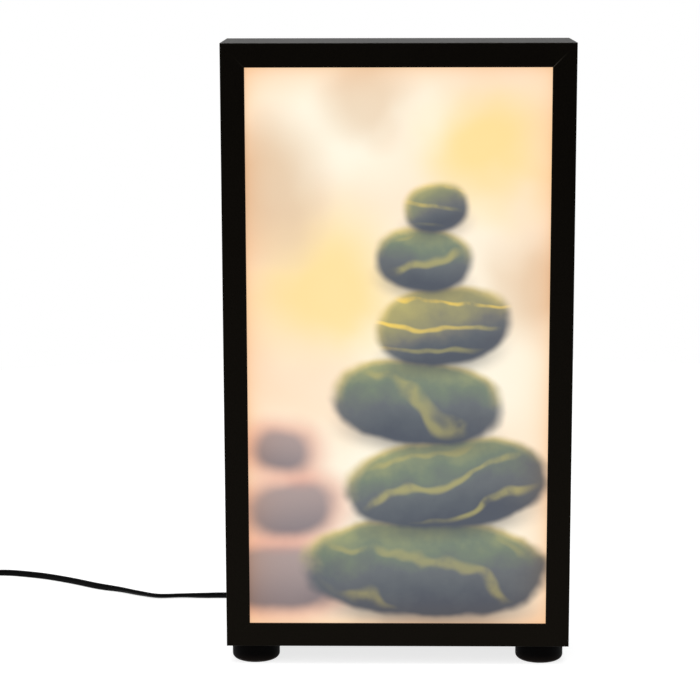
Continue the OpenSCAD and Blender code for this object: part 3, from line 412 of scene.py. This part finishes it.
def coatFinish(name, coat, edge=None):
    made, place = startFinish(name)
    cloud, speck = place.noise(coat["cloud"], 3), place.noise(coat["speck"])
    colour = cloud.blend(coat["colour"], coat["pale"])
    rough = cloud.mixed(speck, coat["speckShare"]).scaled(*coat["rough"])
    if edge:
        # painted highlight: the mitre joints drawn as a light hairline
        onLine = mitreLine(place, coat, edge)
        colour = onLine.blend(colour, coat["line"])
        rough = rough - onLine * coat["lineSmooth"]
    return closeFinish(made, {"Specular IOR Level": coat["gloss"], "Specular Tint": coat["sheen"]},
                       {"Base Color": colour, "Roughness": rough}, speck, coat["bump"])


# soft black rubber of the feet, blocks and strips; a painted highlight makes the feet grey along their
# lower edge
softRubber = {
    "colour": tone(4, 3, 3), "dust": tone(8, 7, 6), "dustEdge": (0.45, 0.8), "rough": (0.5, 0.66),
    "gloss": 0.025, "cloud": 35, "grain": 1400, "grainShare": 0.5, "bump": (0.2, 0.0002),
    # painted highlight: grey fading up from the floor to 9 mm, lightest on the lower rim
    "paintedGlint": tone(24, 20, 18), "paintedGlintHeight": (2, 9),  # mm over the floor
    "rim": tone(90, 83, 80), "rimHeight": (0.2, 3.4),
}


def rubberFinish(name, rubber):
    made, place = startFinish(name)
    cloud, grain = place.noise(rubber["cloud"], 4), place.noise(rubber["grain"])
    colour = cloud.step(*rubber["dustEdge"]).blend(rubber["colour"], rubber["dust"])
    height = place.split()[2] * perMetre
    # painted highlight along the lower edge of the feet, lighter nearer the floor
    colour = height.step(*rubber["paintedGlintHeight"]).blend(rubber["paintedGlint"], colour)
    colour = height.step(*rubber["rimHeight"]).blend(rubber["rim"], colour)
    rough = cloud.mixed(grain, rubber["grainShare"]).scaled(*rubber["rough"])
    return closeFinish(made, {"Specular IOR Level": rubber["gloss"]},
                       {"Base Color": colour, "Roughness": rough}, grain, rubber["bump"])


# satin sheath of the cord: faint lines along its length, a little lint
cordSheath = {
    "colour": tone(2, 2, 2), "worn": tone(6, 6, 6), "wornEdge": (0.4, 0.75), "rough": (0.34, 0.46),
    "gloss": 0.05, "lines": (2600, 14, 1), "cloud": (60, 20, 1), "lineShare": 0.4, "bump": (0.12, 0.0002),
}


def sheathFinish(name, sheath):
    made, place = startFinish(name, "UV")
    lines = place.stretched(*sheath["lines"]).noise(1)
    cloud = place.stretched(*sheath["cloud"]).noise(1, 3)
    colour = cloud.step(*sheath["wornEdge"]).blend(sheath["colour"], sheath["worn"])
    rough = cloud.mixed(lines, sheath["lineShare"]).scaled(*sheath["rough"])
    return closeFinish(made, {"Specular IOR Level": sheath["gloss"]},
                       {"Base Color": colour, "Roughness": rough}, lines, sheath["bump"])


# moulded black plastic of the switch, plug and gland, spark-textured
mouldedPlastic = {
    "colour": tone(10, 10, 10), "pale": tone(16, 16, 16), "rough": (0.36, 0.52), "gloss": 0.26,
    "cloud": 24, "spark": 1600, "sparkShare": 0.3, "bump": (0.18, 0.0002),
}


def plasticFinish(name, plastic):
    made, place = startFinish(name)
    cloud = place.noise(plastic["cloud"], 3)
    spark = place.node("TexVoronoi", None, {"Vector": place, "Scale": plastic["spark"]})
    colour = cloud.blend(plastic["colour"], plastic["pale"])
    rough = cloud.mixed(spark, plastic["sparkShare"]).scaled(*plastic["rough"])
    return closeFinish(made, {"Specular IOR Level": plastic["gloss"]},
                       {"Base Color": colour, "Roughness": rough}, spark, plastic["bump"])


# metals: zinc plate on the fixings, mill finish on the keys, nickel on the plug pins
metalGrain = {"cloud": 160, "tintEdge": (0.35, 0.7), "scratch": 2200, "scratchShare": 0.5,
              "bump": (0.08, 0.0001)}
zincPlate = {"colour": tone(176, 178, 182), "tint": tone(196, 192, 176), "rough": (0.24, 0.42),
             "brushed": (1, 1, 1)}
millAlloy = {"colour": tone(200, 201, 203), "tint": tone(182, 184, 188), "rough": (0.3, 0.5),
             "brushed": (1, 1, 0.05)}
pinNickel = {"colour": tone(206, 203, 194), "tint": tone(190, 184, 168), "rough": (0.14, 0.3),
             "brushed": (1, 0.06, 1)}


def metalFinish(name, metal, grain):
    made, place = startFinish(name)
    cloud = place.noise(grain["cloud"], 3)
    scratch = place.stretched(*metal["brushed"]).noise(grain["scratch"])
    colour = cloud.step(*grain["tintEdge"]).blend(metal["colour"], metal["tint"])
    rough = cloud.mixed(scratch, grain["scratchShare"]).scaled(*metal["rough"])
    return closeFinish(made, {"Metallic": 1.0}, {"Base Color": colour, "Roughness": rough},
                       scratch, grain["bump"])


# white coat of the tray and boards, opal sheet, wires and LED lenses
plainGrain = {"cloud": 18, "fine": 700, "fineShare": 0.5, "bump": (0.06, 0.0002)}
whiteCoat = {"colour": tone(238, 238, 234), "shade": tone(224, 223, 216), "rough": (0.32, 0.48), "glow": 0}
opalSheet = {"colour": tone(246, 243, 236), "shade": tone(236, 231, 220), "rough": (0.5, 0.62), "glow": 0.4}
wireJacket = {"colour": tone(148, 30, 26), "shade": tone(112, 20, 18), "rough": (0.34, 0.48), "glow": 0}
ledLens = {"colour": tone(250, 236, 186), "shade": tone(246, 222, 150), "rough": (0.2, 0.3), "glow": 0.8}


def plainFinish(name, plain, grain):
    made, place = startFinish(name)
    cloud, fine = place.noise(grain["cloud"], 3), place.noise(grain["fine"])
    colour = cloud.blend(plain["colour"], plain["shade"])
    rough = cloud.mixed(fine, grain["fineShare"]).scaled(*plain["rough"])
    varying = {"Base Color": colour, "Roughness": rough}
    if plain["glow"]:
        varying["Emission Color"] = colour
    return closeFinish(made, {"Emission Strength": plain["glow"]}, varying, fine, grain["bump"])


# picture on the panel: river stones in soft focus, lit from behind
printTones = {
    "cream": tone(255, 247, 227), "peach": tone(255, 214, 178), "honey": tone(252, 222, 148),
    "blush": tone(252, 222, 190), "tan": tone(222, 190, 154), "rose": tone(232, 168, 148),
    "mauve": tone(160, 141, 142), "dusk": tone(112, 102, 114), "shadow": tone(70, 76, 90),
    "vein": tone(178, 170, 110), "gold": tone(250, 212, 96),
    "stone": [(0.08, tone(82, 88, 99)), (0.36, tone(98, 105, 111)), (0.58, tone(114, 128, 112)),
              (0.82, tone(152, 158, 116)), (1, tone(216, 200, 130))],  # dark to lit
}
# x, z of the middle, width, height, tilt, rows and slant of the veins, their share, share of gold
printStones = [
    (28, 96, 234, 96, -2, 0.8, 0.7, 0.5, 0.0), (48, 180, 192, 88, 5, 1.3, -0.5, 0.7, 0.0),
    (18, 259, 160, 82, -6, 0.7, 1.1, 0.6, 0.0), (42, 332, 126, 76, 7, 1.5, 0.4, 0.5, 0.9),
    (24, 395, 92, 60, -6, 0.9, -0.8, 0.7, 0.0), (36, 444, 60, 46, 9, 1.1, 0.6, 0.5, 0.4),
]
stoneForm = {
    "power": 2.35, "soft": 3.4, "share": 0.97,
    "castDrop": 0.36, "castSize": (0.8, 0.5), "castEdge": (-9, 12), "castShare": 0.7,
    "level": 0.42, "fromAbove": 0.44, "fromLeft": 0.1, "mottle": 0.5,
    "veinEdge": (0.02, 0.16), "veinBreaks": (0.24, 0.56), "veinInset": (2, 14),
    "goldLeast": 0.25, "goldLight": (0.2, 0.7),
    "rim": (0, 7), "rimLight": (0.3, 0.8), "rimShare": 0.55,
}
# stones out of focus: x, z of the middle, width, height, tilt
hazeStones = [(-112, 86, 140, 78, 0), (-102, 154, 104, 66, 6), (-110, 211, 72, 54, -8)]
hazeForm = {"soft": 15, "fromAbove": (-1, 0.7), "rimFrom": -3, "share": 0.9}
# far patches of colour: x, z of the middle, radius, share, tone
hazeSpots = [
    (88, 496, 70, 0.9, "honey"), (-66, 366, 84, 0.85, "honey"), (-122, 462, 70, 0.75, "tan"),
    (128, 372, 56, 0.65, "tan"), (-26, 540, 48, 0.55, "tan"), (-70, 262, 60, 0.7, "blush"),
]
# noise scales of the picture, each with its reach, and the panel's darker edge
pictureGround = {
    "blush": 5.2, "blushEdge": (0.42, 0.75), "blushShare": 0.8, "spotEdge": (0.25, 1.25),
    "drift": (12, 60), "wobble": (26, 0.2), "warp": (15, 1.7), "mottle": 30,
    "edgeFade": 15, "edgeShade": 0.65,
}


def stoneShape(px, pz, stone, wobble):  # across, up, and mm inside the outline
    x, z, width, height, tilt = stone[:5]
    c, s = math.cos(math.radians(tilt)), math.sin(math.radians(tilt))
    u = ((px - x) * c + (pz - z) * s) / (width / 2)
    v = ((pz - z) * c - (px - x) * s) / (height / 2)
    power = stoneForm["power"]
    reach = (abs(u) ** power + abs(v) ** power) ** (1 / power) + wobble
    return u, v, (1 - reach) * (height / 2)


def printedStone(px, pz, stone, wobble, mottle, warp, under):
    tones, form = printTones, stoneForm
    x, z, width, height, tilt, rows, slant, veined, golden = stone
    castWidth, castHeight = form["castSize"]
    cast = (x, z - form["castDrop"] * height, castWidth * width, castHeight * height, tilt)
    depth = stoneShape(px, pz, cast, wobble)[2]
    under = (depth.step(*form["castEdge"]) * form["castShare"]).blend(under, tones["shadow"])
    u, v, depth = stoneShape(px, pz, stone, wobble)
    light = form["level"] + v * form["fromAbove"] - u * form["fromLeft"] + (mottle - 0.5) * form["mottle"]
    body = light.node("ValToRGB", {"stops": tones["stone"]}, {0: light})
    row = (v + u * slant) * rows + warp
    vein = 1 - row.math("PINGPONG", row, 0.5).step(*form["veinEdge"])
    vein = vein * mottle.step(*form["veinBreaks"])
    body = (vein * depth.step(*form["veinInset"]) * veined).blend(body, tones["vein"])
    if golden:
        gilt = vein.most(form["goldLeast"]) * light.step(*form["goldLight"]) * golden
        body = gilt.blend(body, tones["gold"])
    rim = (1 - depth.step(*form["rim"])) * light.step(*form["rimLight"]) * form["rimShare"]
    body = rim.blend(body, tones["honey"])
    return (depth.step(-form["soft"], form["soft"]) * form["share"]).blend(under, body)


def hazyStone(px, pz, stone, wobble, under):
    tones, form = printTones, hazeForm
    v, depth = stoneShape(px, pz, stone, wobble)[1:]
    body = v.step(*form["fromAbove"]).blend(tones["dusk"], tones["mauve"])
    body = depth.step(form["rimFrom"], form["soft"]).blend(tones["rose"], body)
    return (depth.step(-form["soft"], form["soft"]) * form["share"]).blend(under, body)


def printedPicture(place, ground, edge):
    tones = printTones
    px, pz = [axis * perMetre for axis in place.split()[::2]]
    blush = place.noise(ground["blush"]).step(*ground["blushEdge"])
    colour = (blush * ground["blushShare"]).blend(tones["cream"], tones["blush"])
    drift = place.sway(*ground["drift"])
    inner, outer = ground["spotEdge"]
    for x, z, radius, share, name in hazeSpots:
        off = ((px - x + drift) ** 2 + (pz - z - drift) ** 2) ** 0.5
        colour = ((1 - off.step(radius * inner, radius * outer)) * share).blend(colour, tones[name])
    wobble, warp = place.sway(*ground["wobble"]), place.sway(*ground["warp"])
    mottle = place.noise(ground["mottle"], 3)
    for stone in hazeStones:
        colour = hazyStone(px, pz, stone, wobble, colour)
    for stone in printStones:
        colour = printedStone(px, pz, stone, wobble, mottle, warp, colour)
    sides = edge["halfWidth"] - edge["flange"] - abs(px)
    ends = (pz - (edge["low"] + edge["flange"])).least(edge["high"] - edge["flange"] - pz)
    lit = 1
    for inside in (sides, ends):  # less light at the edges, least in the corners
        gap = inside.most(0) / ground["edgeFade"]
        lit = lit * (1 - ground["edgeShade"] * gap.math("EXPONENT", 0 - gap))
    return lit.node("Mix", {"data_type": "RGBA", "blend_type": "MULTIPLY"},
                    {0: 1 - lit, 6: colour, 7: tones["peach"]}, 2)


# the print as it shows lit through the frosted panel, and unlit on its film
litPicture = {"share": 0.25, "glow": 0.86, "gloss": 0.1, "fine": 1500, "rough": (0.48, 0.6),
              "bump": (0.05, 0.0001)}
printedFilm = dict(litPicture, share=0.9, glow=0)


def panelFinish(name, panel):
    made, place = startFinish(name)
    colour = printedPicture(place, pictureGround, frameEdge)
    fine = place.noise(panel["fine"])
    unlit = fine.node("Mix", {"data_type": "RGBA"}, {0: panel["share"], 6: (0, 0, 0, 1), 7: colour}, 2)
    varying = {"Base Color": unlit, "Roughness": fine.scaled(*panel["rough"])}
    if panel["glow"]:
        varying["Emission Color"] = colour
    return closeFinish(made, {"Emission Strength": panel["glow"], "Specular IOR Level": panel["gloss"]},
                       varying, fine, panel["bump"])


slotFinishes = {
    "frame_coat": coatFinish("powderCoat", powderCoat, frameEdge),
    "raw_alloy": metalFinish("millAlloy", millAlloy, metalGrain),
    "zinc_steel": metalFinish("zincPlate", zincPlate, metalGrain),
    "glow_panel": panelFinish("litPicture", litPicture),
    "print_film": panelFinish("printedFilm", printedFilm),
    "opal_sheet": plainFinish("opalSheet", opalSheet, plainGrain),
    "black_rubber": rubberFinish("softRubber", softRubber),
    "white_board": plainFinish("whiteCoat", whiteCoat, plainGrain),
    "led_lens": plainFinish("ledLens", ledLens, plainGrain),
    "wire_insulation": plainFinish("wireJacket", wireJacket, plainGrain),
    "cord_sheath": sheathFinish("cordSheath", cordSheath),
    "black_plastic": plasticFinish("mouldedPlastic", mouldedPlastic),
    "pin_metal": metalFinish("pinNickel", pinNickel, metalGrain),
}
nodeFinishes = {"back_cover": coatFinish("coverCoat", coverCoat)}  # in place of its slot's


def dressPieces(bySlot, byNode):
    for name, node in nodes.items():
        slotName = node.material_slots[0].material.name.split(".")[0]
        for held in node.material_slots:
            held.material = byNode.get(name, bySlot[slotName])
    for cord in cords:
        cord.data.materials.append(bySlot["cord_sheath"])
    springPiece.data.materials.append(bySlot["zinc_steel"])


dressPieces(slotFinishes, nodeFinishes)
print("finishes on", len(nodes), "nodes")

# floor, backdrop and soft studio light; the studio is dark on the camera's side
studio = {
    "floorRadius": 1.6, "floorSides": 96, "floorColour": tone(172, 172, 172), "floorGlow": 0.77,
    "sky": 0.55, "darkSide": 0.04, "darkEdge": (-0.75, 0.1),
    "lamps": [  # name, place, aim and size in metres, watts
        ("overSoftbox", (0, -0.2, 2.4), (0, 0, 0), (2.2, 1.6), 34),
        ("leftSoftbox", (-2.0, -1.6, 1.5), (0, 0, 0.3), (1.2, 1.6), 16),
    ],
}


def mirroredRays(path):
    return path.other("Is Glossy Ray").most(path.other("Is Transmission Ray"))


def addFloor(setup):
    bpy.ops.object.select_all(action="DESELECT")
    bpy.ops.mesh.primitive_circle_add(vertices=setup["floorSides"], radius=setup["floorRadius"],
                                      fill_type="NGON")
    floor = bpy.context.object
    floor.name = "studioFloor"
    made = bpy.data.materials.new("studioFloor")
    made.use_nodes = True
    floor.data.materials.append(made)
    path = Wire(made.node_tree, None).node("LightPath")
    seen = path.other("Is Camera Ray").most(mirroredRays(path))
    matt = path.node("BsdfDiffuse", None, {"Color": setup["floorColour"]})
    glow = path.node("Emission", None, {"Strength": seen * setup["floorGlow"]})
    both = path.node("AddShader", None, {0: matt, 1: glow})
    made.node_tree.links.new(both.socket, made.node_tree.nodes["Material Output"].inputs["Surface"])


def addSky(setup):
    world = bpy.data.worlds.new("studioWorld")
    scene.world = world
    world.use_nodes = True
    path = Wire(world.node_tree, None).node("LightPath")
    depth = path.node("TexCoord", out="Generated").split()[1]
    shown = depth.step(*setup["darkEdge"]).scaled(setup["darkSide"], 1.0)
    level = setup["sky"] + mirroredRays(path) * (shown - setup["sky"])
    level = level.most(path.other("Is Camera Ray"))
    sky = world.node_tree.nodes["Background"]
    sky.inputs["Color"].default_value = (1, 1, 1, 1)
    world.node_tree.links.new(level.socket, sky.inputs["Strength"])


def addLamps(setup):
    for name, place, aim, size, power in setup["lamps"]:
        data = bpy.data.lights.new(name, "AREA")
        data.shape, data.size, data.size_y, data.energy = "RECTANGLE", size[0], size[1], power
        lamp = bpy.data.objects.new(name, data)
        scene.collection.objects.link(lamp)
        lamp.location = place
        lamp.rotation_euler = (Vector(aim) - Vector(place)).to_track_quat("-Z", "Y").to_euler()


addFloor(studio)
addSky(studio)
addLamps(studio)
print("studio lit")

bpy.context.view_layer.update()
